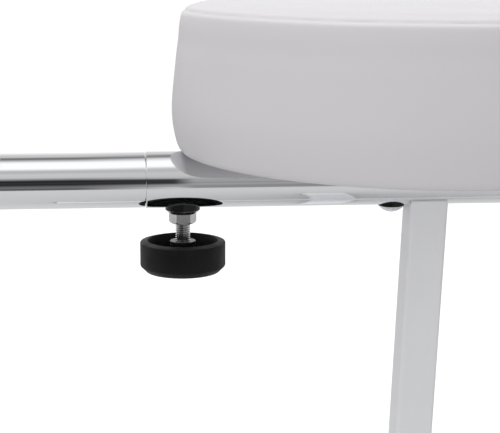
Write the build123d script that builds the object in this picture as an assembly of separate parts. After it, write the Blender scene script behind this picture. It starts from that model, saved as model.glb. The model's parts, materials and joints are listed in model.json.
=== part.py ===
from build123d import *
from math import cos, radians, sin, sqrt, tan
import os

# A padded round stool on a pedestal post. A chrome spine tube runs under the seat and takes the
# arm of a padded backrest, which slides in its mouth and is held by a hand knob from below.
# Driving dimensions are in millimetres. X runs along the spine tube, with the backrest at -X, and
# Z is up. X counts from the seat's centre until the last step moves every piece to the part's origin.

# Spine tube
tube_radius = 19.0
tube_wall = 2.0
tube_axis_z = 364.0
tube_mouth_x = -192.0
tube_mouth_fillet = 0.8
tube_end_x = 140.0
end_plug_head = 3.0
end_plug_depth = 16.0
end_plug_fillet = 1.8
plug_clearance = 0.05

# Back arm: a bent tube with a drawn-down spigot that slides in the spine tube
arm_radius = 18.6
arm_wall = 2.0
arm_bend_x = -300.0
arm_bend_radius = 60.0
arm_bend_angle = 82.0
arm_riser_length = 300.0
spigot_clearance = 0.08
spigot_length = 95.0
spigot_flat_depth = 1.2
spigot_flat_start = 12.0
spigot_root = 6.0
seam_gap = 0.5

# Clamp under the spine tube: nut welded to the tube, screw, swivel pad and hand knob
clamp_x = -167.0
clamp_screw_radius = 5.0
screw_clearance = 0.05
clamp_hole_radius = 5.5
nut_height = 10.6
nut_across_flats = 16.0
nut_corner_chamfer = 1.2
nut_flange_radius = 11.4
nut_flange_waist = 9.3
nut_flange_cone = 2.2
nut_flange_rim = 1.6
nut_flange_top_radius = 10.5
nut_flange_rise = 6.0
pad_radius = 4.8
pad_thickness = 3.0
pad_gap = 0.02
pivot_radius = 2.0
pivot_length = 1.8
knob_radius = 28.9
knob_height = 21.2
knob_drop = 22.5
knob_chamfer = 4.1
knob_rim = 4.9
knob_rim_fall = 1.2
knob_cup_draft = 1.5
knob_floor = 5.0
knob_boss_radius = 8.5
knob_boss_taper = 1.0
knob_web_count = 6
knob_web_width = 2.4
knob_web_drop = 10.5
insert_radius = 8.8
insert_flange = 1.6
insert_chamfer = 0.3
insert_drop = 0.4
screw_in_knob = 16.0
screw_tip_chamfer = 0.8

# Round seat pad: vinyl cover, foam and plywood board
seat_radius = 174.4
seat_gap = 1.0
seat_foot_inset = 6.8
seat_tuck_inset = 2.2
seat_tuck_height = 8.5
seat_belly_height = 27.0
seat_shoulder_inset = 5.4
seat_shoulder_height = 84.0
seat_rim_inset = 13.5
seat_rim_height = 95.5
seat_crown = 4.0
cover_thickness = 1.2
hem_thickness = 2.0
hem_inner_radius = 145.0
board_radius = 158.0
board_thickness = 12.0

# Plate and fasteners that hold the seat and the post to the spine tube
plate_length = 190.0
plate_width = 64.0
plate_corner = 12.0
plate_start_x = -66.0
weld_half_width = 8.5
weld_gap = 0.02
seat_screw_places = (-24.0, 95.0)
seat_screw_radius = 4.0
seat_screw_head_radius = 8.75
seat_screw_head_height = 5.2
seat_screw_head_rim = 0.8
seat_screw_head_neck_radius = 8.35
seat_screw_head_rise = 3.0
seat_screw_end = 2.0
hole_clearance = 0.2
tee_nut_flange_radius = 11.0
tee_nut_flange = 1.5
tee_nut_barrel_radius = 5.4
tee_nut_barrel = 9.0
post_bolt_head_radius = 6.5
post_bolt_head_height = 8.0
post_bolt_pocket_radius = 9.0
post_bolt_depth = 24.0

# Post of square tube on a cross foot of flat tube
post_size = 26.0
post_corner = 2.5
post_wall = 1.5
flat_tube_width = 40.0
flat_tube_depth = 20.0
flat_tube_wall = 1.5
flat_tube_corner = 3.0
post_rake = 2.1
post_ear_height = 2.35
post_plug_height = 30.0
base_reach_x = 250.0
base_reach_y = 230.0
cap_head = 3.0
cap_chamfer = 1.2
cap_depth = 12.0
foot_height = 12.0
foot_radius = 15.0
foot_top_radius = 12.0
foot_inset = 24.0
foot_stem_radius = 4.0
foot_barb_radius = 5.0
foot_barb_height = 4.0
foot_barb_tip_radius = 3.0
foot_chamfer = 1.5

# Backrest, in the plane of the arm's riser
rest_along_riser = 225.0
rest_width = 300.0
rest_height = 170.0
rest_corner = 60.0
rest_depth = 58.0
rest_taper = 5.0
rest_crown_radius = 900.0
rest_front_fillet = 13.0
rest_board_margin = 14.0
rest_board_corner = 46.0
bracket_width = 130.0
bracket_height = 80.0
bracket_thickness = 3.0
bracket_corner = 8.0
weld_corner = 0.5
rest_screw_spacing_y = 94.0
rest_screw_spacing_z = 50.0
rest_screw_radius = 2.5
rest_screw_head_radius = 5.0
rest_screw_head_height = 3.0
rest_screw_head_fillet = 1.5
rest_screw_length = 11.0

# Heights and places that follow from the sizes above
tube_top_z = tube_axis_z + tube_radius
tube_bottom_z = tube_axis_z - tube_radius
tube_bore_radius = tube_radius - tube_wall
spigot_radius = tube_bore_radius - spigot_clearance
spigot_flat_z = tube_axis_z - spigot_radius + spigot_flat_depth
seat_bottom_z = tube_top_z + seat_gap
board_bottom_z = seat_bottom_z + hem_thickness
board_top_z = board_bottom_z + board_thickness
knob_top_z = tube_bottom_z - knob_drop
knob_bottom_z = knob_top_z - knob_height
boss_top_z = knob_top_z - insert_drop - insert_flange
clamp_pad_top_z = spigot_flat_z - pad_gap
clamp_pad_bottom_z = clamp_pad_top_z - pad_thickness
nut_bottom_z = tube_bottom_z - nut_height
base_bottom_z = foot_height
base_top_z = base_bottom_z + flat_tube_depth
base_x = -(tube_bottom_z - base_top_z) * tan(radians(post_rake))
riser_lean = arm_bend_angle - 90.0


def cylinder_x(radius, start_x, end_x):
    """Round bar on the spine tube's axis."""
    start = Plane(origin=(start_x, 0, tube_axis_z), x_dir=(0, 1, 0), z_dir=(1, 0, 0))
    return extrude(start * Circle(radius), amount=end_x - start_x)


def cylinder_z(radius, x, bottom_z, top_z, y=0.0):
    """Upright round bar."""
    return extrude(Pos(x, y, bottom_z) * Circle(radius), amount=top_z - bottom_z)


def slab(x_range, y_half, z_range):
    """Block that is centred on the X axis, used to trim pieces."""
    length = x_range[1] - x_range[0]
    height = z_range[1] - z_range[0]
    middle = Pos((x_range[0] + x_range[1]) / 2, 0, (z_range[0] + z_range[1]) / 2)
    return middle * Box(length, 2 * y_half, height)


def turned(points, x=0.0):
    """Solid of revolution about an upright axis, from (radius, height) points."""
    profile = make_face(Polyline(*points, close=True))
    return Pos(x, 0, 0) * revolve(Plane.XZ * profile, Axis.Z)


spine_envelope = cylinder_x(tube_radius + weld_gap, tube_mouth_x, tube_end_x)


def spine_tube():
    """Open tube with holes for the clamp, the seat screws and the post's bolt."""
    tube = cylinder_x(tube_radius, tube_mouth_x, tube_end_x)
    tube = fillet(tube.edges().group_by(Axis.X)[0], tube_mouth_fillet)
    tube -= cylinder_x(tube_bore_radius, tube_mouth_x, tube_end_x)
    tube -= cylinder_z(clamp_hole_radius, clamp_x, tube_bottom_z - tube_wall, tube_axis_z)
    for x in (0.0, *seat_screw_places):
        hole_radius = seat_screw_radius + hole_clearance
        tube -= cylinder_z(hole_radius, x, tube_bottom_z - tube_wall, tube_top_z + tube_wall)
    return tube


def spine_end_plug():
    """Moulded plug that closes the tube's front end."""
    head = cylinder_x(tube_radius, tube_end_x, tube_end_x + end_plug_head)
    head = fillet(head.edges().group_by(Axis.X)[-1], end_plug_fillet)
    sleeve_radius = tube_bore_radius - plug_clearance
    sleeve = cylinder_x(sleeve_radius, tube_end_x - end_plug_depth, tube_end_x)
    sleeve -= cylinder_x(sleeve_radius - tube_wall, tube_end_x - end_plug_depth, tube_end_x)
    return head + sleeve


def arm_path(first_x):
    """Arm's centre line from first_x back to the bend, round it and up the riser."""
    turn = radians(arm_bend_angle)
    half = turn / 2
    centre_z = tube_axis_z + arm_bend_radius
    bend_start = (arm_bend_x, 0, tube_axis_z)
    bend_middle = (arm_bend_x - arm_bend_radius * sin(half), 0, centre_z - arm_bend_radius * cos(half))
    bend_end = (arm_bend_x - arm_bend_radius * sin(turn), 0, centre_z - arm_bend_radius * cos(turn))
    riser_end_x = bend_end[0] - arm_riser_length * cos(turn)
    riser_end = (riser_end_x, 0, bend_end[2] + arm_riser_length * sin(turn))
    run = Line((first_x, 0, tube_axis_z), bend_start)
    return run + ThreePointArc(bend_start, bend_middle, bend_end) + Line(bend_end, riser_end)


def riser_plane(along):
    """Plane on the riser: its X is the seat's Y, its Y runs up the riser and its Z faces the seat."""
    lean = radians(riser_lean)
    bend_end = arm_path(tube_mouth_x).edges().sort_by(Axis.Z)[-1].position_at(0)
    place = Vector(bend_end.X + along * sin(lean), 0, bend_end.Z + along * cos(lean))
    return Plane(origin=place, x_dir=(0, 1, 0), z_dir=(cos(lean), 0, -sin(lean)))


def back_arm():
    """Bent tube, shouldered down to a spigot that has a long flat for the clamp."""
    shoulder_x = tube_mouth_x - seam_gap
    section = Plane(origin=(shoulder_x, 0, tube_axis_z), x_dir=(0, 1, 0), z_dir=(-1, 0, 0))
    ring = Circle(arm_radius) - Circle(arm_radius - arm_wall)
    tube = sweep(section * ring, path=arm_path(shoulder_x))
    spigot_end_x = tube_mouth_x + spigot_length
    spigot_start_x = shoulder_x - spigot_root
    spigot = cylinder_x(spigot_radius, shoulder_x, spigot_end_x)
    spigot += cylinder_x(arm_radius - arm_wall, spigot_start_x, shoulder_x)
    spigot -= cylinder_x(spigot_radius - arm_wall - spigot_flat_depth, spigot_start_x, spigot_end_x)
    flat_range = (tube_mouth_x + spigot_flat_start, spigot_end_x)
    spigot -= slab(flat_range, tube_radius, (tube_bottom_z, spigot_flat_z))
    return tube + spigot


def arm_top_cap():
    """Moulded cap on the riser's open top."""
    top = riser_plane(arm_riser_length)
    across = Plane(origin=top.origin, x_dir=(0, 1, 0), z_dir=top.y_dir)
    head = extrude(across * Circle(arm_radius), amount=end_plug_head)
    head = fillet(head.edges().group_by(Axis.Z)[-1], end_plug_fillet)
    sleeve_radius = arm_radius - arm_wall - plug_clearance
    ring = Circle(sleeve_radius) - Circle(sleeve_radius - arm_wall)
    sleeve = extrude(across * ring, amount=-end_plug_depth)
    return head + sleeve


def clamp_nut():
    """Hexagon nut with a domed flange, shaped to the underside of the tube that it is welded to."""
    corner_radius = nut_across_flats / sqrt(3)
    hexagon = Pos(clamp_x, 0, nut_bottom_z) * RegularPolygon(corner_radius, 6)
    barrel = turned(
        [
            (0, nut_bottom_z),
            (nut_across_flats / 2, nut_bottom_z),
            (corner_radius, nut_bottom_z + nut_corner_chamfer),
            (corner_radius, tube_bottom_z),
            (0, tube_bottom_z),
        ],
        clamp_x,
    )
    rim_z = tube_bottom_z - nut_flange_rim
    nut = extrude(hexagon, amount=nut_height) & barrel
    nut += turned(
        [
            (0, rim_z - nut_flange_cone),
            (nut_flange_waist, rim_z - nut_flange_cone),
            (nut_flange_radius, rim_z),
            (nut_flange_top_radius, rim_z + nut_flange_rise),
            (0, rim_z + nut_flange_rise),
        ],
        clamp_x,
    )
    nut -= spine_envelope
    return nut - cylinder_z(clamp_screw_radius + screw_clearance, clamp_x, nut_bottom_z, tube_axis_z)


def knob_insert():
    """Glossy plastic bush on top of the knob's boss, which the stud is held in."""
    flange = cylinder_z(insert_radius, clamp_x, boss_top_z, boss_top_z + insert_flange)
    flange = chamfer(flange.edges().group_by(Axis.Z)[-1], insert_chamfer)
    return flange - cylinder_z(clamp_screw_radius, clamp_x, boss_top_z, knob_top_z)


def clamp_pad():
    """Swivel pad between the screw's tip and the flat of the spigot."""
    pad = cylinder_z(pad_radius, clamp_x, clamp_pad_bottom_z, clamp_pad_top_z)
    pocket_top_z = clamp_pad_bottom_z + pivot_length + screw_clearance
    return pad - cylinder_z(pivot_radius + screw_clearance, clamp_x, clamp_pad_bottom_z, pocket_top_z)


def clamp_screw():
    """Stud that is moulded into the knob, with a turned pivot at its tip."""
    shoulder_z = clamp_pad_bottom_z - pad_gap
    stud = cylinder_z(clamp_screw_radius, clamp_x, knob_top_z - screw_in_knob, shoulder_z)
    stud = chamfer(stud.edges().group_by(Axis.Z)[-1], screw_tip_chamfer)
    return stud + cylinder_z(pivot_radius, clamp_x, shoulder_z, shoulder_z + pivot_length)


def clamp_knob():
    """Moulded cup with a middle boss and webs, open at the top."""
    cup_radius = knob_radius - knob_rim
    floor_z = knob_bottom_z + knob_floor
    shell = turned(
        [
            (0, knob_bottom_z),
            (knob_radius - knob_chamfer, knob_bottom_z),
            (knob_radius, knob_bottom_z + knob_chamfer),
            (knob_radius, knob_top_z - knob_rim_fall),
            (cup_radius, knob_top_z),
            (cup_radius - knob_cup_draft, floor_z),
            (knob_boss_radius + knob_boss_taper, floor_z),
            (knob_boss_radius, boss_top_z),
            (0, boss_top_z),
        ]
    )
    web_reach = cup_radius - knob_boss_radius + knob_rim / 2
    web_height = knob_top_z - knob_web_drop - floor_z
    web_middle = Pos(knob_boss_radius + web_reach / 2, 0, floor_z + web_height / 2)
    web = web_middle * Box(web_reach, knob_web_width, web_height)
    for turn in range(knob_web_count):
        shell += Rot(0, 0, 360 / knob_web_count * turn) * web
    knob = Pos(clamp_x, 0, 0) * shell
    return knob - cylinder_z(clamp_screw_radius, clamp_x, knob_top_z - screw_in_knob, knob_top_z)


def seat_form(inset):
    """Round pad: foot drawn in under the board, leaning side, soft top edge and low crown."""
    side = seat_radius - inset
    rim_radius = side - seat_rim_inset
    belly = (side, seat_bottom_z + seat_belly_height)
    tuck = (side - seat_tuck_inset, seat_bottom_z + seat_tuck_height)
    shoulder = (side - seat_shoulder_inset, seat_bottom_z + seat_shoulder_height)
    rim = (rim_radius, seat_bottom_z + seat_rim_height - inset)
    crown_radius = (rim_radius**2 + seat_crown**2) / (2 * seat_crown)
    crown_fall = crown_radius - sqrt(crown_radius**2 - rim_radius**2 / 4)
    crown = (0, rim[1] + seat_crown)
    belly_arc = TangentArc(belly, tuck, tangent=(0, -1))
    foot_arc = TangentArc(tuck, (side - seat_foot_inset, seat_bottom_z), tangent=belly_arc % 1)
    bottom = Polyline((side - seat_foot_inset, seat_bottom_z), (0, seat_bottom_z), crown)
    crown_arc = ThreePointArc(crown, (rim_radius / 2, crown[1] - crown_fall), rim)
    side_arc = TangentArc(belly, shoulder, tangent=(0, 1))
    edge_arc = TangentArc(shoulder, rim, tangent=side_arc % 1)
    profile = make_face(belly_arc + foot_arc + bottom + crown_arc + edge_arc + side_arc)
    return revolve(Plane.XZ * profile, Axis.Z)


def seat_filling():
    """Space inside the seat's cover, above its turned-under hem."""
    return seat_form(cover_thickness) - cylinder_z(seat_radius, 0, seat_bottom_z, board_bottom_z)


def seat_cover():
    """Vinyl skin that is turned under the board."""
    skin = seat_form(0) - seat_filling()
    return skin - cylinder_z(hem_inner_radius, 0, seat_bottom_z, board_bottom_z)


def seat_board():
    """Plywood disc with holes for the tee nuts and a pocket for the post's bolt."""
    board = cylinder_z(board_radius, 0, board_bottom_z, board_top_z)
    board -= cylinder_z(post_bolt_pocket_radius, 0, board_bottom_z, board_top_z)
    for x in seat_screw_places:
        board -= cylinder_z(tee_nut_barrel_radius, x, board_bottom_z, board_top_z)
    return board


def seat_foam():
    """Foam that fills the cover round the board, with room for the tee nuts."""
    foam = seat_filling() - cylinder_z(board_radius, 0, board_bottom_z, board_top_z)
    for x in seat_screw_places:
        pocket_top_z = board_top_z + tee_nut_flange + seat_screw_end
        foam -= cylinder_z(tee_nut_flange_radius, x, board_top_z, pocket_top_z)
    return foam


def tee_nut(x):
    """Flanged nut pressed into the board from above."""
    nut = cylinder_z(tee_nut_flange_radius, x, board_top_z, board_top_z + tee_nut_flange)
    nut += cylinder_z(tee_nut_barrel_radius, x, board_top_z - tee_nut_barrel, board_top_z)
    bore = seat_screw_radius + screw_clearance
    return nut - cylinder_z(bore, x, board_top_z - tee_nut_barrel, board_top_z + tee_nut_flange)


def seat_screw(x):
    """Dome-headed screw, its head dished to the underside of the spine tube."""
    rim_z = tube_bottom_z - seat_screw_head_rim
    dome_height = seat_screw_head_height - seat_screw_head_rim
    sphere_radius = (seat_screw_head_radius**2 + dome_height**2) / (2 * dome_height)
    dome = Pos(x, 0, rim_z - dome_height + sphere_radius) * Sphere(sphere_radius)
    head = dome & cylinder_z(seat_screw_head_radius, x, rim_z - dome_height, rim_z)
    head += turned(
        [
            (0, rim_z),
            (seat_screw_head_radius, rim_z),
            (seat_screw_head_neck_radius, rim_z + seat_screw_head_rise),
            (0, rim_z + seat_screw_head_rise),
        ],
        x,
    )
    head -= spine_envelope
    return head + cylinder_z(seat_screw_radius, x, rim_z, board_top_z + tee_nut_flange)


def seat_plate():
    """Steel plate welded along the top of the spine tube, with its two weld fillets."""
    plate_range = (plate_start_x, plate_start_x + plate_length)
    plate = slab(plate_range, plate_width / 2, (tube_top_z, board_bottom_z))
    plate = fillet(plate.edges().filter_by(Axis.Z), plate_corner)
    plate += slab(plate_range, weld_half_width, (tube_top_z - tube_wall, tube_top_z))
    plate -= spine_envelope
    for x in (0.0, *seat_screw_places):
        plate -= cylinder_z(seat_screw_radius + hole_clearance, x, tube_top_z - tube_wall, board_bottom_z)
    return plate


post_plane = Plane(
    origin=(base_x, 0, base_top_z),
    x_dir=(cos(radians(post_rake)), 0, -sin(radians(post_rake))),
    z_dir=(sin(radians(post_rake)), 0, cos(radians(post_rake))),
)
post_top_z = tube_bottom_z + post_ear_height


def post_bar(inset):
    """Endless raked bar of the post's section, drawn in by the inset."""
    side = post_size - 2 * inset
    section = RectangleRounded(side, side, post_corner - inset)
    return extrude(post_plane * section, amount=tube_axis_z, both=True)


def post():
    """Raked square tube, coped to the spine tube at its top and cut level at its foot."""
    span = slab((-seat_radius, seat_radius), post_size, (base_top_z, post_top_z))
    return ((post_bar(0) - post_bar(post_wall)) & span) - spine_envelope


def post_plug():
    """Threaded block in the post's top."""
    span = slab((-seat_radius, seat_radius), post_size, (post_top_z - post_plug_height, post_top_z))
    block = (post_bar(post_wall + plug_clearance) & span) - spine_envelope
    return block - cylinder_z(seat_screw_radius + screw_clearance, 0, base_top_z, tube_axis_z)


def post_bolt():
    """Bolt from the seat plate through the spine tube into the post's plug."""
    head = cylinder_z(post_bolt_head_radius, 0, board_bottom_z, board_bottom_z + post_bolt_head_height)
    return head + cylinder_z(seat_screw_radius, 0, tube_bottom_z - post_bolt_depth, board_bottom_z)


foot_places = (
    (base_x - base_reach_x + foot_inset, 0.0),
    (base_x + base_reach_x - foot_inset, 0.0),
    (base_x, foot_inset - base_reach_y),
    (base_x, base_reach_y - foot_inset),
)


def flat_bar(reach, start, turn, inset):
    """Level bar of the foot's section, from start to reach along its own direction from the post."""
    size_y = flat_tube_width - 2 * inset
    size_z = flat_tube_depth - 2 * inset
    section = RectangleRounded(size_y, size_z, flat_tube_corner - inset)
    ahead = Plane(origin=(start, 0, base_bottom_z + flat_tube_depth / 2), x_dir=(0, 1, 0), z_dir=(1, 0, 0))
    return Pos(base_x, 0, 0) * Rot(0, 0, turn) * extrude(ahead * section, amount=reach - start)


def foot_tube(reach, start, turn):
    """Hollow bar of the cross foot, with holes in its lower wall for the push-in feet."""
    tube = flat_bar(reach, start, turn, 0) - flat_bar(reach, start, turn, flat_tube_wall)
    for x, y in foot_places:
        hole_radius = foot_stem_radius + screw_clearance
        tube -= cylinder_z(hole_radius, x, base_bottom_z, base_bottom_z + flat_tube_wall, y)
    return tube


def foot_cap(reach, turn):
    """Moulded cap in the end of a bar."""
    head = flat_bar(reach + cap_head, reach, turn, 0)
    outward = Vector(1, 0, 0).rotate(Axis.Z, turn)
    outer_edges = head.faces().sort_by(Axis((0, 0, 0), outward))[-1].edges()
    head = chamfer(outer_edges, cap_chamfer)
    sleeve = flat_bar(reach, reach - cap_depth, turn, flat_tube_wall + plug_clearance)
    return head + sleeve


def rubber_foot(x, y):
    """Push-in rubber foot with a barb above the bar's lower wall."""
    wall_top_z = base_bottom_z + flat_tube_wall
    barb_top_z = wall_top_z + foot_barb_height
    foot = turned(
        [
            (0, 0),
            (foot_radius - foot_chamfer, 0),
            (foot_radius, foot_chamfer),
            (foot_top_radius, foot_height),
            (foot_stem_radius, foot_height),
            (foot_stem_radius, wall_top_z),
            (foot_barb_radius, wall_top_z),
            (foot_barb_tip_radius, barb_top_z),
            (0, barb_top_z),
        ]
    )
    return Pos(x, y, 0) * foot


rest_plane = riser_plane(rest_along_riser)
bracket_back = arm_radius
rest_back = bracket_back + bracket_thickness


def rest_block(width, height, corner, start, end, taper=0.0):
    """Rounded block on the backrest's plane, between two distances from the riser's axis."""
    section = Pos(0, 0, start) * RectangleRounded(width, height, corner)
    return extrude(rest_plane * section, amount=end - start, taper=taper)


def rest_form(inset):
    """Backrest pad: sides that draw in towards a crowned front with a soft edge."""
    front = rest_back + rest_depth - inset
    width = rest_width - 2 * inset
    height = rest_height - 2 * inset
    block = rest_block(width, height, rest_corner - inset, rest_back, front, rest_taper)
    ball = rest_plane * Pos(0, 0, front - rest_crown_radius) * Sphere(rest_crown_radius)
    pad = block & ball
    front_face = pad.faces().sort_by(Axis(rest_plane.origin, rest_plane.z_dir))[-1]
    return fillet(front_face.edges(), rest_front_fillet)


def rest_filling():
    """Space inside the backrest's cover, in front of its turned-under hem."""
    hem = rest_block(rest_width, rest_height, rest_corner, rest_back, rest_back + cover_thickness)
    return rest_form(cover_thickness) - hem


def rest_screw_places():
    """Places of the bracket's screws on the backrest's plane."""
    return GridLocations(rest_screw_spacing_y, rest_screw_spacing_z, 2, 2)


def back_board_space():
    """Space that the backrest's board takes up."""
    margin = 2 * rest_board_margin
    size = (rest_width - margin, rest_height - margin)
    return rest_block(*size, rest_board_corner, rest_back, rest_back + board_thickness)


def back_board():
    """Plywood board behind the foam, drilled for the bracket's screws."""
    board = back_board_space()
    for place in rest_screw_places():
        hole = place * Pos(0, 0, rest_back) * Circle(rest_screw_radius)
        board -= extrude(rest_plane * hole, amount=rest_screw_length - bracket_thickness)
    return board


def back_foam():
    """Foam that fills the cover round the board."""
    return rest_filling() - back_board_space()


def back_cover():
    """Vinyl skin that is turned in behind the foam, up to the board."""
    return rest_form(0) - rest_filling() - back_board_space()


def back_bracket():
    """Steel plate welded along the front of the riser, with its two weld fillets."""
    plate = rest_block(bracket_width, bracket_height, bracket_corner, bracket_back, rest_back)
    weld_start = bracket_back - arm_wall
    plate += rest_block(2 * weld_half_width, bracket_height, weld_corner, weld_start, bracket_back)
    along = Plane(origin=rest_plane.origin, x_dir=(0, 1, 0), z_dir=rest_plane.y_dir)
    plate -= extrude(along * Circle(arm_radius + weld_gap), amount=bracket_height, both=True)
    for place in rest_screw_places():
        hole = place * Pos(0, 0, bracket_back) * Circle(rest_screw_radius + screw_clearance)
        plate -= extrude(rest_plane * hole, amount=bracket_thickness)
    return plate


def back_screw(place):
    """Pan-headed screw through the bracket into the board."""
    head_start = bracket_back - rest_screw_head_height
    disc = rest_plane * place * Pos(0, 0, head_start) * Circle(rest_screw_head_radius)
    head = extrude(disc, amount=rest_screw_head_height)
    back_edge = head.edges().sort_by(Axis(rest_plane.origin, rest_plane.z_dir))[0]
    head = fillet(back_edge, rest_screw_head_fillet)
    shank = rest_plane * place * Pos(0, 0, bracket_back) * Circle(rest_screw_radius)
    return head + extrude(shank, amount=rest_screw_length)


# Every piece under its name
pieces = {
    "spine_tube": spine_tube(),
    "spine_end_plug": spine_end_plug(),
    "clamp_nut": clamp_nut(),
    "clamp_pad": clamp_pad(),
    "clamp_screw": clamp_screw(),
    "clamp_knob": clamp_knob(),
    "knob_insert": knob_insert(),
    "back_arm": back_arm(),
    "arm_top_cap": arm_top_cap(),
    "back_bracket": back_bracket(),
    "back_board": back_board(),
    "back_foam": back_foam(),
    "back_cover": back_cover(),
    "seat_plate": seat_plate(),
    "seat_board": seat_board(),
    "seat_foam": seat_foam(),
    "seat_cover": seat_cover(),
    "post": post(),
    "post_plug": post_plug(),
    "post_bolt": post_bolt(),
    "foot_bar_long": foot_tube(base_reach_x, -base_reach_x, 0),
    "foot_bar_left": foot_tube(base_reach_y, flat_tube_width / 2, 90),
    "foot_bar_right": foot_tube(base_reach_y, flat_tube_width / 2, -90),
    "foot_cap_front": foot_cap(base_reach_x, 0),
    "foot_cap_back": foot_cap(base_reach_x, 180),
    "foot_cap_left": foot_cap(base_reach_y, 90),
    "foot_cap_right": foot_cap(base_reach_y, -90),
}
for number, x in enumerate(seat_screw_places, start=1):
    pieces[f"seat_screw_{number}"] = seat_screw(x)
    pieces[f"tee_nut_{number}"] = tee_nut(x)
for number, (x, y) in enumerate(foot_places, start=1):
    pieces[f"rubber_foot_{number}"] = rubber_foot(x, y)
for number, place in enumerate(rest_screw_places(), start=1):
    pieces[f"back_screw_{number}"] = back_screw(place)

# The origin is on the floor, under the middle of the whole part
back_reach = min(piece.bounding_box().min.X for piece in pieces.values())
front_reach = max(piece.bounding_box().max.X for piece in pieces.values())
to_origin = Pos(-(back_reach + front_reach) / 2, 0, 0)

os.makedirs("parts", exist_ok=True)
for name, piece in pieces.items():
    export_step(to_origin * piece, f"parts/{name}.step")
print(f"seat centre at x {to_origin.position.X:.3f}, clamp axis at x {to_origin.position.X + clamp_x:.3f}")
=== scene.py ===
import json
import math
import bmesh
import bpy
from mathutils import Matrix, Vector


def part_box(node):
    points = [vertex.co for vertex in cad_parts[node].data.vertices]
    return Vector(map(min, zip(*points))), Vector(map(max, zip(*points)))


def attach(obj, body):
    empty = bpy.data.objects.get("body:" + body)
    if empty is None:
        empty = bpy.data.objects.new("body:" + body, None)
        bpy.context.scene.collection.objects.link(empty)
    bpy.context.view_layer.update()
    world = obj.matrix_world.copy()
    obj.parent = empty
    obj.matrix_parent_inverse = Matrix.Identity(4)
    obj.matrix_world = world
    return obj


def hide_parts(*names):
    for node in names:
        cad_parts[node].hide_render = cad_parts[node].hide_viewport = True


# A padded round stool with a clamped backrest arm, dressed on its CAD frame. Sizes are in metres.
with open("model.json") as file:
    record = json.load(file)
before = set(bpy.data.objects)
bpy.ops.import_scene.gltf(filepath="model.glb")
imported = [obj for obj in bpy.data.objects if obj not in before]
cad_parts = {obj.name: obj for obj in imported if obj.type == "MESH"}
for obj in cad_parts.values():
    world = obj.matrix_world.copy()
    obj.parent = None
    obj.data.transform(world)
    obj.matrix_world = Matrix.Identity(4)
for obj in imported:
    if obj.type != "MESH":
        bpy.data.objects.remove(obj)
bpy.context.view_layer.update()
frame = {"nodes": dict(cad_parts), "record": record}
nodes = frame["nodes"]


def middle_x(node):
    """X of the middle of a node's box."""
    low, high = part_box(node)
    return (low.x + high.x) / 2


seat_x = middle_x("seat_cover")
seat_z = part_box("seat_cover")[0].z
clamp_x = middle_x("clamp_screw")


# Modelling by hand: pick, shape, finish

def deselect():
    """Object mode with nothing picked."""
    if bpy.context.object and bpy.context.object.mode != "OBJECT":
        bpy.ops.object.mode_set(mode="OBJECT")
    bpy.ops.object.select_all(action="DESELECT")


def alone(piece):
    """Picks one piece and nothing else."""
    deselect()
    piece.select_set(True)
    bpy.context.view_layer.objects.active = piece


def started(name):
    """Names the primitive that was just added and opens its mesh."""
    piece = bpy.context.object
    piece.name = name
    piece.data.name = name
    bpy.ops.object.mode_set(mode="EDIT")
    return piece


def pick(piece, kind, wanted):
    """Picks points by their place, or edges by their middle and their run."""
    bpy.ops.mesh.select_mode(type=kind)
    bpy.ops.mesh.select_all(action="DESELECT")
    mesh = bmesh.from_edit_mesh(piece.data)
    if kind == "EDGE":
        for edge in mesh.edges:
            start, end = (corner.co for corner in edge.verts)
            edge.select_set(wanted((start + end) / 2, end - start))
    else:
        for point in mesh.verts:
            point.select_set(wanted(point.co))
    bmesh.update_edit_mesh(piece.data)


def raised(step):
    """Extrudes what is picked straight up or down."""
    bpy.ops.mesh.extrude_region_move(TRANSFORM_OT_translate={"value": (0, 0, step)})


def widened(share, centre):
    """Scales what is picked about an upright axis."""
    bpy.ops.transform.resize(value=(share, share, 1), center_override=centre)


def turned_up(profile, centre):
    """Extrudes a ring for every (radius, height) after the first, which is the picked disc."""
    for (last_radius, last_height), (radius, height) in zip(profile, profile[1:]):
        raised(height - last_height)
        widened(radius / last_radius, centre)


def closed():
    """Merges doubles, points the faces outwards and leaves edit mode."""
    bpy.ops.mesh.select_all(action="SELECT")
    bpy.ops.mesh.remove_doubles(threshold=1e-6)
    bpy.ops.mesh.normals_make_consistent(inside=False)
    bpy.ops.object.mode_set(mode="OBJECT")


def settled(piece):
    """Puts the place into the mesh, so that the object sits at the origin."""
    alone(piece)
    bpy.ops.object.transform_apply(location=True, rotation=True, scale=True)


def modified(piece, kind, **settings):
    """Adds a modifier and applies it."""
    alone(piece)
    modifier = piece.modifiers.new(kind.title(), kind)
    for name, value in settings.items():
        setattr(modifier, name, value)
    bpy.ops.object.modifier_apply(modifier=modifier.name)


def smooth(piece, degrees):
    """Smooth shading that keeps edges sharper than the angle."""
    alone(piece)
    bpy.ops.object.shade_smooth_by_angle(angle=math.radians(degrees))


def dressed(piece, material, body, slot, *stands_for):
    """Gives a piece its finish and its place in the frame."""
    piece.data.materials.clear()
    piece.data.materials.append(material)
    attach(piece, body)
    if stands_for:
        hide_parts(*stands_for)


# Finishes

NOISE = "ShaderNodeTexNoise"
CELLS = "ShaderNodeTexVoronoi"
WAVES = "ShaderNodeTexWave"
# Most of a noise texture lies between these greys.
NOISE_LOW, NOISE_HIGH = 0.3, 0.7


def shader_of(material):
    return material.node_tree.nodes["Principled BSDF"]


def finish(name, color, roughness, metallic=0.0):
    """Plain start of a finish: one colour, roughness and metal share."""
    material = bpy.data.materials.new(name)
    material.use_nodes = True
    shader = shader_of(material)
    shader.inputs["Base Color"].default_value = (*color, 1)
    shader.inputs["Roughness"].default_value = roughness
    shader.inputs["Metallic"].default_value = metallic
    return material


def specular(material, level):
    """Strength of the mirror reflection on a surface that isn't metal."""
    shader_of(material).inputs["Specular IOR Level"].default_value = level


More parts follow.
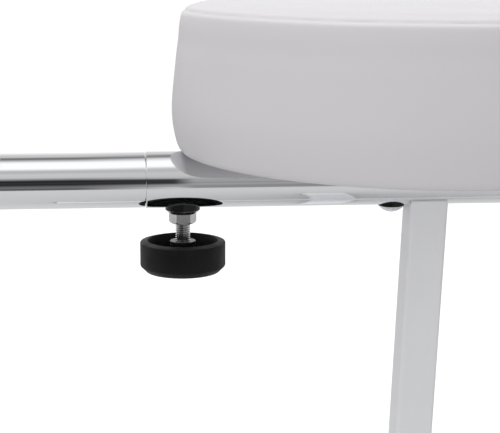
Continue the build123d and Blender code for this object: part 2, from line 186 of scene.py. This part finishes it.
def pattern(material, kind, scale, stretch=(1, 1, 1), **settings):
    """Texture on the piece's own coordinates."""
    tree = material.node_tree
    place = tree.nodes.new("ShaderNodeTexCoord")
    mapping = tree.nodes.new("ShaderNodeMapping")
    mapping.inputs["Scale"].default_value = stretch
    texture = tree.nodes.new(kind)
    texture.inputs["Scale"].default_value = scale
    for name, value in settings.items():
        texture.inputs[name].default_value = value
    tree.links.new(place.outputs["Object"], mapping.inputs["Vector"])
    tree.links.new(mapping.outputs["Vector"], texture.inputs["Vector"])
    return texture


def value_of(texture):
    """The texture's grey output."""
    return texture.outputs["Fac" if "Fac" in texture.outputs else "Distance"]


def relief(material, texture, depth, strength):
    """Bump from a texture, on top of any earlier bump."""
    tree = material.node_tree
    normal = shader_of(material).inputs["Normal"]
    bump = tree.nodes.new("ShaderNodeBump")
    bump.inputs["Distance"].default_value = depth
    bump.inputs["Strength"].default_value = strength
    tree.links.new(value_of(texture), bump.inputs["Height"])
    if normal.is_linked:
        tree.links.new(normal.links[0].from_socket, bump.inputs["Normal"])
    tree.links.new(bump.outputs["Normal"], normal)


def tinted(material, texture, stops):
    """Base colour from a texture, between two (place, colour) stops."""
    tree = material.node_tree
    ramp = tree.nodes.new("ShaderNodeValToRGB")
    for element, (place, color) in zip(ramp.color_ramp.elements, stops):
        element.position = place
        element.color = (*color, 1)
    tree.links.new(value_of(texture), ramp.inputs["Fac"])
    tree.links.new(ramp.outputs["Color"], shader_of(material).inputs["Base Color"])


def worn(material, texture, low, high):
    """Roughness between two values from a texture."""
    tree = material.node_tree
    span = tree.nodes.new("ShaderNodeMapRange")
    span.inputs["From Min"].default_value = NOISE_LOW
    span.inputs["From Max"].default_value = NOISE_HIGH
    span.inputs["To Min"].default_value = low
    span.inputs["To Max"].default_value = high
    tree.links.new(value_of(texture), span.inputs["Value"])
    tree.links.new(span.outputs["Result"], shader_of(material).inputs["Roughness"])


def shades(color, spread):
    """A colour a little darker and a little lighter, as stops."""
    dark = tuple(channel * (1 - spread) for channel in color)
    light = tuple(min(1, channel * (1 + spread)) for channel in color)
    return [(NOISE_LOW, dark), (NOISE_HIGH, light)]


def polished_chrome():
    chrome = finish("polished_chrome", (0.88, 0.885, 0.90), roughness=0.02, metallic=1.0)
    polish = pattern(chrome, NOISE, scale=900, stretch=(0.05, 1, 1), Detail=2)
    relief(chrome, polish, depth=0.000004, strength=0.25)
    worn(chrome, pattern(chrome, NOISE, scale=45, Detail=4), low=0.014, high=0.032)
    return chrome


def zinc_plate():
    color = (0.66, 0.66, 0.67)
    zinc = finish("zinc_plate", color, roughness=0.22, metallic=1.0)
    tinted(zinc, pattern(zinc, NOISE, scale=160, Detail=6), shades(color, spread=0.10))
    worn(zinc, pattern(zinc, NOISE, scale=300, Detail=3), low=0.16, high=0.30)
    relief(zinc, pattern(zinc, NOISE, scale=1400, Detail=2), depth=0.00002, strength=0.4)
    return zinc


def bright_dome_steel():
    steel = finish("bright_dome_steel", (0.80, 0.80, 0.81), roughness=0.08, metallic=1.0)
    worn(steel, pattern(steel, NOISE, scale=200, Detail=4), low=0.06, high=0.13)
    relief(steel, pattern(steel, NOISE, scale=2000, Detail=2), depth=0.000006, strength=0.3)
    return steel


def moulded_plastic(name, color, roughness, spread=0.15):
    plastic = finish(name, color, roughness)
    tinted(plastic, pattern(plastic, NOISE, scale=90, Detail=5), shades(color, spread))
    gloss = pattern(plastic, NOISE, scale=130, Detail=3)
    worn(plastic, gloss, low=roughness - 0.05, high=roughness + 0.07)
    relief(plastic, pattern(plastic, NOISE, scale=1500, Detail=3), depth=0.00004, strength=0.5)
    return plastic


def satin_paint(name, color, roughness):
    paint = finish(name, color, roughness)
    tinted(paint, pattern(paint, NOISE, scale=14, Detail=4), shades(color, spread=0.025))
    gloss = pattern(paint, NOISE, scale=60, Detail=3)
    worn(paint, gloss, low=roughness - 0.05, high=roughness + 0.05)
    relief(paint, pattern(paint, NOISE, scale=420, Detail=2), depth=0.00006, strength=0.25)
    return paint


def foot_rubber():
    color = (0.03, 0.03, 0.031)
    rubber = finish("foot_rubber", color, roughness=0.78)
    tinted(rubber, pattern(rubber, NOISE, scale=70, Detail=5), shades(color, spread=0.25))
    relief(rubber, pattern(rubber, NOISE, scale=900, Detail=4), depth=0.0001, strength=0.5)
    return rubber


def sealed_board():
    board = finish("sealed_board", (0.70, 0.70, 0.69), roughness=0.55)
    grain = pattern(board, WAVES, scale=26, stretch=(0.08, 1, 1), Distortion=7.0, Detail=3.0)
    tinted(board, grain, [(0.0, (0.64, 0.63, 0.61)), (1.0, (0.72, 0.72, 0.71))])
    relief(board, grain, depth=0.00012, strength=0.5)
    return board


def white_vinyl():
    color = (0.720, 0.704, 0.725)
    vinyl = finish("white_vinyl", color, roughness=0.42)
    specular(vinyl, 0.35)
    tinted(vinyl, pattern(vinyl, NOISE, scale=9, Detail=3), shades(color, spread=0.010))
    worn(vinyl, pattern(vinyl, NOISE, scale=24, Detail=4), low=0.38, high=0.47)
    relief(vinyl, pattern(vinyl, CELLS, scale=900), depth=0.00004, strength=0.35)
    relief(vinyl, pattern(vinyl, NOISE, scale=40, Detail=3), depth=0.0003, strength=0.22)
    return vinyl


zinc = zinc_plate()
black_nylon = moulded_plastic("black_nylon", (0.007, 0.007, 0.0075), roughness=0.46)
specular(black_nylon, 0.2)
gloss_black = moulded_plastic("gloss_black", (0.012, 0.012, 0.0125), roughness=0.14)
specular(gloss_black, 0.3)
grey_paint = satin_paint("grey_paint", (0.90, 0.905, 0.93), roughness=0.42)
vinyl = white_vinyl()

finish_of_slot = {
    "chrome": polished_chrome(),
    "zinc_steel": zinc,
    "bright_steel": bright_dome_steel(),
    "black_nylon": black_nylon,
    "nylon_pad": moulded_plastic("pad_nylon", (0.74, 0.73, 0.69), roughness=0.45, spread=0.03),
    "black_plastic": moulded_plastic("black_plastic", (0.022, 0.022, 0.023), roughness=0.45),
    "grey_plastic": moulded_plastic("grey_plastic", (0.40, 0.40, 0.42), roughness=0.48, spread=0.05),
    "painted_steel": grey_paint,
    "black_steel": satin_paint("black_paint", (0.03, 0.03, 0.03), roughness=0.40),
    "rubber": foot_rubber(),
    "white_board": sealed_board(),
    "white_vinyl": vinyl,
    "foam": vinyl,
}
for part in frame["record"]["subparts"]:
    skin = nodes[part["node"]]
    skin.data.materials.clear()
    skin.data.materials.append(finish_of_slot[part["material_slot"]])
# The knob's bush is shinier than the other black plastic.
nodes["knob_insert"].data.materials[0] = gloss_black


# Cushions

def filled_out(piece, cap, held):
    """Swells a closed pad as cloth with the held points pinned, and caps how far a point may move."""
    pressure = 4.0
    stiffness = 15
    last_frame = 15
    start = [point.co.copy() for point in piece.data.vertices]
    pins = piece.vertex_groups.new(name="held")
    pins.add([point.index for point in piece.data.vertices if held(point.co)], 1.0, "REPLACE")
    alone(piece)
    cloth = piece.modifiers.new("Swell", "CLOTH")
    cloth.settings.use_pressure = True
    cloth.settings.uniform_pressure_force = pressure
    cloth.settings.effector_weights.gravity = 0
    cloth.settings.tension_stiffness = stiffness
    cloth.settings.compression_stiffness = stiffness
    cloth.settings.shear_stiffness = stiffness
    cloth.settings.vertex_group_mass = "held"
    cloth.settings.quality = 4
    cloth.collision_settings.use_collision = False
    for moment in range(1, last_frame + 1):
        bpy.context.scene.frame_set(moment)
    bpy.ops.object.modifier_apply(modifier=cloth.name)
    bpy.context.scene.frame_set(1)
    for point, before in zip(piece.data.vertices, start):
        shift = point.co - before
        if shift.length > cap:
            point.co = before + shift * (cap / shift.length)
    piece.vertex_groups.clear()


def seat_cushion():
    """Round cushion: hem turned under the board, leaning side, sewn seam at the top edge and low crown."""
    deselect()
    centre = (seat_x, 0, seat_z)
    hem_radius = 0.146
    hem_gap = 0.0004
    hem_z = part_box("seat_board")[0].z + hem_gap - seat_z
    held_below = seat_z + 0.003
    seam_z = seat_z + 0.0920
    seam_half = 0.0002
    bpy.ops.mesh.primitive_circle_add(
        vertices=144, radius=hem_radius, fill_type="NGON", location=centre,
    )
    cushion = started("seat_cushion")
    bpy.ops.transform.translate(value=(0, 0, hem_z))
    underside = [
        (hem_radius, hem_z), (hem_radius + 0.0005, -0.0006), (0.1530, -0.0008), (0.1600, -0.0008),
        (0.1652, -0.0008), (0.1672, -0.0006), (0.1683, 0.0002),
    ]
    side = [
        (0.1696, 0.0020), (0.1706, 0.0044), (0.1713, 0.0070), (0.1722, 0.0108), (0.1730, 0.0149),
        (0.1735, 0.0190), (0.1738, 0.0230), (0.1739, 0.0270), (0.1738, 0.0311), (0.1735, 0.0351),
        (0.1732, 0.0392), (0.1728, 0.0432), (0.1724, 0.0472), (0.1720, 0.0512), (0.1715, 0.0552),
        (0.1711, 0.0592), (0.1707, 0.0632), (0.1702, 0.0672), (0.1696, 0.0711), (0.1692, 0.0750),
        (0.1689, 0.0790), (0.1686, 0.0825), (0.1681, 0.0858), (0.1676, 0.0884), (0.1672, 0.0900),
    ]
    seam = [(0.1666, 0.0912), (0.1655, 0.0920), (0.1654, 0.0930)]
    crown = [
        (0.1650, 0.0943), (0.1641, 0.0955), (0.1624, 0.0962), (0.1594, 0.0965), (0.1548, 0.0966),
        (0.1490, 0.0966), (0.1410, 0.0966), (0.1300, 0.0966), (0.1160, 0.0967), (0.0980, 0.0967),
        (0.0750, 0.0967), (0.0480, 0.0968), (0.0220, 0.0968),
    ]
    turned_up(underside + side + seam + crown, centre)
    closed()
    settled(cushion)
    filled_out(
        cushion, cap=0.0012, held=lambda co: co.z < held_below or abs(co.z - seam_z) < seam_half,
    )
    modified(cushion, "SUBSURF", levels=1, render_levels=1)
    smooth(cushion, degrees=60)
    dressed(cushion, vinyl, "stool", "white_vinyl", "seat_cover", "seat_foam")


seat_cushion()


def riser_frame():
    """Frame on the rear of the back board: X across, Y up the arm's riser, Z toward the seat."""
    lean = math.radians(-8)
    toward_seat = Vector((math.cos(lean), 0, -math.sin(lean)))
    up_riser = Vector((math.sin(lean), 0, math.cos(lean)))
    corners = [point.co for point in nodes["back_board"].data.vertices]
    heights = [corner.dot(up_riser) for corner in corners]
    rear = min(corner.dot(toward_seat) for corner in corners)
    origin = toward_seat * rear + up_riser * ((min(heights) + max(heights)) / 2)
    turn = Matrix((Vector((0, 1, 0)), up_riser, toward_seat)).transposed()
    return Matrix.Translation(origin) @ turn.to_4x4()


def back_cushion():
    """Rounded block whose sides draw in to a crowned front, with a hem round the board behind it."""
    deselect()
    bpy.ops.mesh.primitive_plane_add(size=1, location=(0, 0, 0))
    cushion = started("back_cushion")
    board_width, board_height = 0.271, 0.141
    hem_z = 0.0015
    held_below = 0.004
    bpy.ops.transform.resize(value=(board_width, board_height, 1))
    bpy.ops.mesh.bevel(offset=0.045, segments=10, affect="VERTICES")
    bpy.ops.mesh.select_all(action="SELECT")
    bpy.ops.transform.translate(value=(0, 0, hem_z))
    # Width, height and distance from the board's rear of every ring
    rings = [
        (board_width, board_height, hem_z),
        (0.2715, 0.1415, 0.0003), (0.2840, 0.1540, 0.0), (0.2915, 0.1615, 0.0018),
        (0.2955, 0.1655, 0.0060), (0.2968, 0.1668, 0.0120), (0.2960, 0.1660, 0.0200),
        (0.2945, 0.1645, 0.0300), (0.2922, 0.1622, 0.0400), (0.2875, 0.1575, 0.0470),
        (0.2790, 0.1490, 0.0518), (0.2640, 0.1340, 0.0538), (0.2200, 0.1100, 0.0556),
        (0.1500, 0.0750, 0.0570), (0.0700, 0.0350, 0.0574),
    ]
    for last, ring in zip(rings, rings[1:]):
        raised(ring[2] - last[2])
        bpy.ops.transform.resize(
            value=(ring[0] / last[0], ring[1] / last[1], 1), center_override=(0, 0, 0),
        )
    closed()
    settled(cushion)
    modified(cushion, "REMESH", mode="VOXEL", voxel_size=0.005)
    filled_out(cushion, cap=0.003, held=lambda co: co.z < held_below)
    modified(cushion, "SMOOTH", factor=0.5, iterations=6)
    modified(cushion, "SUBSURF", levels=1, render_levels=1)
    cushion.matrix_world = riser_frame()
    settled(cushion)
    smooth(cushion, degrees=60)
    dressed(cushion, vinyl, "backrest", "white_vinyl", "back_cover", "back_foam")


back_cushion()


# Clamp: hand knob and threaded stud

def hand_knob():
    """Moulded cup with a sloped rim, fine grip ribs, a chamfered foot and a middle boss."""
    deselect()
    knob_low, knob_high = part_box("clamp_knob")
    radius = (knob_high.x - knob_low.x) / 2
    height = knob_high.z - knob_low.z
    centre = (clamp_x, 0, knob_low.z)
    foot_radius = radius - 0.0041
    floor_z = 0.0050
    boss_top = height - 0.0021
    bore_radius = 0.0051
    rib_count = 80
    groove_depth = 0.00022
    bpy.ops.mesh.primitive_circle_add(
        vertices=2 * rib_count, radius=foot_radius, fill_type="NGON", location=centre,
    )
    knob = started("hand_knob")
    outside = [
        (foot_radius, 0.0), (radius - 0.0038, 0.0002), (radius - 0.0003, 0.0037), (radius, 0.0043),
        (radius, height - 0.0016), (radius - 0.0003, height - 0.0011),
    ]
    rim = [
        (radius - 0.0042, height - 0.0001), (radius - 0.0049, height),
        (radius - 0.0053, height - 0.0007),
    ]
    cup = [(radius - 0.0064, 0.0056), (radius - 0.0071, floor_z)]
    boss = [
        (0.0098, floor_z), (0.0094, 0.0054), (0.0086, height - 0.0025), (0.0082, boss_top),
        (bore_radius, boss_top), (bore_radius, 0.0060),
    ]
    turned_up(outside + rim + cup + boss, centre)
    closed()
    settled(knob)
    bpy.ops.object.mode_set(mode="EDIT")

    def in_groove(co):
        turn = math.atan2(co.y, co.x - clamp_x) / (2 * math.pi) * rib_count
        on_side = math.hypot(co.x - clamp_x, co.y) > radius - 0.0002
        return on_side and round(2 * turn) % 2 == 0

    pick(knob, "VERT", in_groove)
    widened(1 - groove_depth / radius, centre)
    bpy.ops.object.mode_set(mode="OBJECT")
    smooth(knob, degrees=30)
    dressed(knob, black_nylon, "clamp_handle", "black_nylon", "clamp_knob")


hand_knob()


def threaded_stud():
    """Stud with a rolled thread, a plain foot in the knob and a turned pivot at its tip."""
    deselect()
    stud_low, stud_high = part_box("clamp_screw")
    foot_z = stud_low.z
    tip_z = stud_high.z
    neck_z = tip_z - 0.0018
    pitch = 0.0015
    crest = 0.00498
    root = 0.00422
    turns = int((neck_z - foot_z) / pitch) - 2
    bpy.ops.mesh.primitive_circle_add(vertices=3, radius=root, location=(clamp_x, 0, 0))
    stud = started("threaded_stud")
    bpy.ops.mesh.merge(type="CENTER")
    bpy.ops.transform.translate(value=(root, 0, foot_z))
    root_half, flank, crest_flat = 0.00008, 0.00042, 0.0005
    steps = (
        (0, root_half), (crest - root, flank), (0, crest_flat), (root - crest, flank), (0, root_half),
    )
    for step_out, step_up in steps:
        bpy.ops.mesh.extrude_vertices_move(TRANSFORM_OT_translate={"value": (step_out, 0, step_up)})
    bpy.ops.object.mode_set(mode="OBJECT")
    modified(
        stud, "SCREW", axis="Z", angle=2 * math.pi, screw_offset=pitch, iterations=turns,
        steps=48, render_steps=48, use_merge_vertices=True, merge_threshold=1e-5,
        use_normal_calculate=True,
    )
    settled(stud)
    deselect()
    foot_radius = 0.0041
    core_radius = 0.00415
    pivot_radius = 0.002
    bpy.ops.mesh.primitive_circle_add(
        vertices=48, radius=foot_radius, fill_type="NGON", location=(clamp_x, 0, foot_z),
    )
    core = started("stud_core")
    core_profile = [
        (foot_radius, 0.0), (core_radius, 0.0), (core_radius, neck_z - 0.0006 - foot_z),
        (0.0038, neck_z - foot_z), (pivot_radius, neck_z - foot_z),
        (pivot_radius, tip_z - 0.0003 - foot_z), (0.0017, tip_z - foot_z),
    ]
    turned_up(core_profile, (clamp_x, 0, foot_z))
    closed()
    settled(core)
    alone(stud)
    core.select_set(True)
    bpy.ops.object.join()
    smooth(stud, degrees=40)
    dressed(stud, zinc, "clamp_handle", "zinc_steel", "clamp_screw")


threaded_stud()


# Small fittings under the spine tube

spine_low, spine_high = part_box("spine_tube")


def cut_to_spine(piece):
    """Cuts a piece to the underside of the spine tube, with a hair of clearance."""
    deselect()
    clearance = 0.00003
    bpy.ops.mesh.primitive_cylinder_add(
        vertices=192, radius=(spine_high.z - spine_low.z) / 2 + clearance, depth=0.6,
        location=(0, 0, (spine_low.z + spine_high.z) / 2), rotation=(0, math.pi / 2, 0),
    )
    spine_form = bpy.context.object
    modified(piece, "BOOLEAN", operation="DIFFERENCE", solver="EXACT", object=spine_form)
    bpy.data.objects.remove(spine_form)


def saddle_gasket(name, x, drop, foot_radius, top_radius):
    """Thin moulded ring round a flange, from a little below the tube, its top shaped to the tube."""
    deselect()
    wall = 0.0003
    rise = 0.0052
    centre = (x, 0, spine_low.z - drop)
    bpy.ops.mesh.primitive_circle_add(vertices=96, radius=foot_radius + wall, location=centre)
    gasket = started(name)
    profile = [
        (foot_radius + wall, 0.0), (foot_radius + wall, 0.0003), (top_radius + wall, rise),
        (top_radius, rise), (foot_radius, 0.0),
    ]
    turned_up(profile, centre)
    closed()
    settled(gasket)
    cut_to_spine(gasket)
    smooth(gasket, degrees=30)
    dressed(gasket, gloss_black, "stool", "black_plastic")


saddle_gasket("nut_gasket", clamp_x, drop=0.0014, foot_radius=0.01142, top_radius=0.01062)
for count in (1, 2):
    saddle_gasket(
        f"screw_gasket_{count}", middle_x(f"seat_screw_{count}"),
        drop=0.0006, foot_radius=0.00877, top_radius=0.00809,
    )


def post_welds():
    """Painted weld beads in the wedges between the post's cut walls and the spine tube."""
    deselect()
    post_low, post_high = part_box("post")
    half = (post_high.y - post_low.y) / 2
    bead_radius = 0.0019
    bead_inset = 0.0017
    end_margin = 0.0006
    post_gap = 0.00002
    bpy.ops.mesh.primitive_cylinder_add(
        vertices=40, radius=bead_radius, depth=2 * half - 0.001, rotation=(0, math.pi / 2, 0),
        location=(seat_x, bead_inset - half, post_high.z + 0.0003),
    )
    front = started("post_weld_front")
    settled(front)
    bpy.ops.object.mode_set(mode="EDIT")

    def on_end(middle, along):
        return abs(middle.x - seat_x) > half - end_margin and abs(along.x) < 1e-6

    pick(front, "EDGE", on_end)
    bpy.ops.mesh.bevel(offset=0.0009, segments=4)
    bpy.ops.mesh.select_all(action="SELECT")
    bpy.ops.mesh.bisect(
        plane_co=(0, 0, post_high.z + post_gap), plane_no=(0, 0, 1), clear_inner=True, use_fill=True,
    )
    closed()
    cut_to_spine(front)
    smooth(front, degrees=40)
    dressed(front, grey_paint, "stool", "painted_steel")
    alone(front)
    bpy.ops.object.duplicate()
    back = bpy.context.object
    back.name = "post_weld_back"
    back.data.name = "post_weld_back"
    bpy.ops.transform.rotate(value=math.pi, orient_axis="Z", center_override=(seat_x, 0, 0))
    settled(back)
    dressed(back, grey_paint, "stool", "painted_steel")


post_welds()


# Floor, light and camera

def math_node(tree, operation, second):
    """Math node with its second value set."""
    node = tree.nodes.new("ShaderNodeMath")
    node.operation = operation
    node.inputs[1].default_value = second
    return node


def pale_floor():
    """Wide white floor that ends a little in front of the stool, white to the camera but for the shadow."""
    deselect()
    size = 40
    front_edge = -0.64
    drop = 0.0005
    bpy.ops.mesh.primitive_plane_add(size=1, location=(0, 0, 0))
    floor = started("floor")
    bpy.ops.transform.resize(value=(size, size, 1), center_override=(0, 0, 0))
    bpy.ops.transform.translate(value=(0, size / 2 + front_edge, -drop))
    bpy.ops.object.mode_set(mode="OBJECT")
    settled(floor)
    material = bpy.data.materials.new("white_floor")
    material.use_nodes = True
    tree = material.node_tree
    tree.nodes.clear()
    out = tree.nodes.new("ShaderNodeOutputMaterial")
    paint = tree.nodes.new("ShaderNodeBsdfDiffuse")
    paint.inputs["Color"].default_value = (0.52, 0.52, 0.525, 1)
    glow = tree.nodes.new("ShaderNodeEmission")
    seen = tree.nodes.new("ShaderNodeLightPath")
    camera_glow = math_node(tree, "MULTIPLY", 0.70)
    mirror_glow = math_node(tree, "MULTIPLY_ADD", 0.15)
    both = tree.nodes.new("ShaderNodeAddShader")
    tree.links.new(seen.outputs["Is Camera Ray"], camera_glow.inputs[0])
    tree.links.new(seen.outputs["Is Glossy Ray"], mirror_glow.inputs[0])
    tree.links.new(camera_glow.outputs[0], mirror_glow.inputs[2])
    tree.links.new(mirror_glow.outputs[0], glow.inputs["Strength"])
    tree.links.new(paint.outputs[0], both.inputs[0])
    tree.links.new(glow.outputs[0], both.inputs[1])
    tree.links.new(both.outputs[0], out.inputs["Surface"])
    floor.data.materials.append(material)


pale_floor()


def ramp_of(tree, bands, share):
    """Grey levels by elevation, as (degrees, level) bands."""
    ramp = tree.nodes.new("ShaderNodeValToRGB")
    stops = ramp.color_ramp.elements
    while len(stops) > 1:
        stops.remove(stops[0])
    for count, (degrees, level) in enumerate(bands):
        place = (degrees + 180) / 360
        stop = stops.new(place) if count else stops[0]
        stop.position = place
        stop.color = (level, level, level, 1)
    tree.links.new(share.outputs[0], ramp.inputs["Fac"])
    return ramp.outputs["Color"]


def side_mix(tree, parts, left, right, start, end):
    """Goes from one colour to the other between two places along X of the ray's direction."""
    step = tree.nodes.new("ShaderNodeMapRange")
    step.inputs["From Min"].default_value = start
    step.inputs["From Max"].default_value = end
    tree.links.new(parts.outputs["X"], step.inputs["Value"])
    mix = tree.nodes.new("ShaderNodeMix")
    mix.data_type = "RGBA"
    tree.links.new(step.outputs[0], mix.inputs["Factor"])
    tree.links.new(left, mix.inputs["A"])
    tree.links.new(right, mix.inputs["B"])
    return mix.outputs["Result"]


def background(tree, strength=1.0):
    """Plain white light of the world."""
    light = tree.nodes.new("ShaderNodeBackground")
    light.inputs["Color"].default_value = (1, 1, 1, 1)
    light.inputs["Strength"].default_value = strength
    return light


def ray_switch(tree, ray, otherwise, chosen):
    """One light for rays of a kind, and another for the rest."""
    switch = tree.nodes.new("ShaderNodeMixShader")
    tree.links.new(ray, switch.inputs[0])
    tree.links.new(otherwise.outputs[0], switch.inputs[1])
    tree.links.new(chosen.outputs[0], switch.inputs[2])
    return switch


def studio_world():
    """White to the camera, grey bands of a room to mirrors, and an even level to matt surfaces."""
    world = bpy.data.worlds.new("studio")
    bpy.context.scene.world = world
    world.use_nodes = True
    tree = world.node_tree
    tree.nodes.clear()
    out = tree.nodes.new("ShaderNodeOutputWorld")
    direction = tree.nodes.new("ShaderNodeTexCoord")
    parts = tree.nodes.new("ShaderNodeSeparateXYZ")
    tree.links.new(direction.outputs["Generated"], parts.inputs[0])
    # Angle about X: 0 is level toward the camera's side, 90 is overhead, -90 is the floor.
    toward = math_node(tree, "MULTIPLY", -1)
    tree.links.new(parts.outputs["Y"], toward.inputs[0])
    angle = tree.nodes.new("ShaderNodeMath")
    angle.operation = "ARCTAN2"
    tree.links.new(parts.outputs["Z"], angle.inputs[0])
    tree.links.new(toward.outputs[0], angle.inputs[1])
    share = tree.nodes.new("ShaderNodeMapRange")
    share.inputs["From Min"].default_value = -math.pi
    share.inputs["From Max"].default_value = math.pi
    tree.links.new(angle.outputs[0], share.inputs["Value"])
    overhead = [
        (23, 0.60), (36, 0.63), (45, 0.50), (52, 0.58), (59, 1.0), (64, 1.12), (86, 1.12),
        (92, 0.98), (99, 0.66), (110, 0.20), (118, 0.22), (126, 0.60), (142, 0.66), (155, 0.82),
        (170, 1.0),
    ]
    mid_overhead = [
        (23, 0.58), (36, 0.60), (45, 0.53), (52, 0.56), (57, 0.64), (62, 0.92), (67, 1.12),
        (88, 1.12), (99, 0.92), (108, 0.66), (115, 0.26), (129, 0.27), (136, 0.62), (146, 0.68),
        (162, 0.70), (174, 1.0),
    ]
    floorward = [(-180, 1.0), (-90, 0.62), (-32, 0.62)]
    left_room = [
        (-28, 0.16), (-24, 0.09), (-20, 0.18), (-15, 0.15), (-10, 0.07), (-6, 0.02), (-2, 0.035),
        (2, 0.04), (7, 0.012), (11, 0.08), (16, 0.30),
    ]
    mid_room = [
        (-24, 0.62), (-20, 0.38), (-12, 0.31), (-8, 0.10), (-4, 0.035), (6, 0.04), (10, 0.10),
        (15, 0.50),
    ]
    right_room = [
        (-28, 0.63), (-25, 0.28), (-17, 0.27), (-12, 0.36), (-8, 0.36), (-4, 0.29), (0, 0.36),
        (10, 0.39),
    ]
    left = ramp_of(tree, floorward + left_room + overhead, share)
    middle = ramp_of(tree, floorward + mid_room + mid_overhead, share)
    right = ramp_of(tree, floorward + right_room + mid_overhead, share)
    room = side_mix(tree, parts, left, middle, start=-0.020, end=0.055)
    room = side_mix(tree, parts, room, right, start=0.052, end=0.066)
    mirrored = tree.nodes.new("ShaderNodeBackground")
    tree.links.new(room, mirrored.inputs["Color"])
    seen = tree.nodes.new("ShaderNodeLightPath")
    even = background(tree, strength=0.64)
    lit = ray_switch(tree, seen.outputs["Is Glossy Ray"], even, mirrored)
    shown = ray_switch(tree, seen.outputs["Is Camera Ray"], lit, background(tree))
    tree.links.new(shown.outputs[0], out.inputs["Surface"])


studio_world()


def softbox(name, place, aim, width, height, energy):
    """Large soft lamp that mirrors don't show."""
    deselect()
    bpy.ops.object.light_add(type="AREA", location=place)
    lamp = bpy.context.object
    lamp.name = name
    lamp.rotation_euler = (Vector(aim) - Vector(place)).to_track_quat("-Z", "Y").to_euler()
    lamp.data.shape = "RECTANGLE"
    lamp.data.size = width
    lamp.data.size_y = height
    lamp.data.energy = energy
    lamp.visible_glossy = False
    lamp.visible_camera = False


softbox(
    "overhead_softbox", place=(-0.25, 0.35, 2.2), aim=(-0.25, 0.35, 0.0),
    width=1.8, height=1.4, energy=21.5,
)
softbox(
    "front_softbox", place=(-1.5, -2.1, 0.45), aim=(0.05, 0.0, 0.38),
    width=1.4, height=1.0, energy=9.5,
)


def photo_camera():
    """Camera at the photograph's viewing angle, from a fit of its outlines."""
    deselect()
    bpy.ops.object.camera_add()
    camera = bpy.context.object
    camera.name = "camera"
    yaw, pitch, roll = -0.1087, -0.1963, 0.0054
    place = (seat_x - 0.2195, -0.9, 0.5178)
    sensor_mm = 36
    focal_px = 1358.5
    image_width_px = 500
    turn = Matrix.Rotation(yaw, 4, "Z") @ Matrix.Rotation(math.pi / 2 + pitch, 4, "X")
    camera.matrix_world = Matrix.Translation(place) @ turn @ Matrix.Rotation(roll, 4, "Z")
    camera.data.sensor_width = sensor_mm
    camera.data.sensor_fit = "HORIZONTAL"
    camera.data.lens = focal_px * sensor_mm / image_width_px
    camera.data.clip_start = 0.01
    camera.data.clip_end = 200
    bpy.context.scene.camera = camera


photo_camera()
bpy.context.scene.view_settings.view_transform = "Standard"
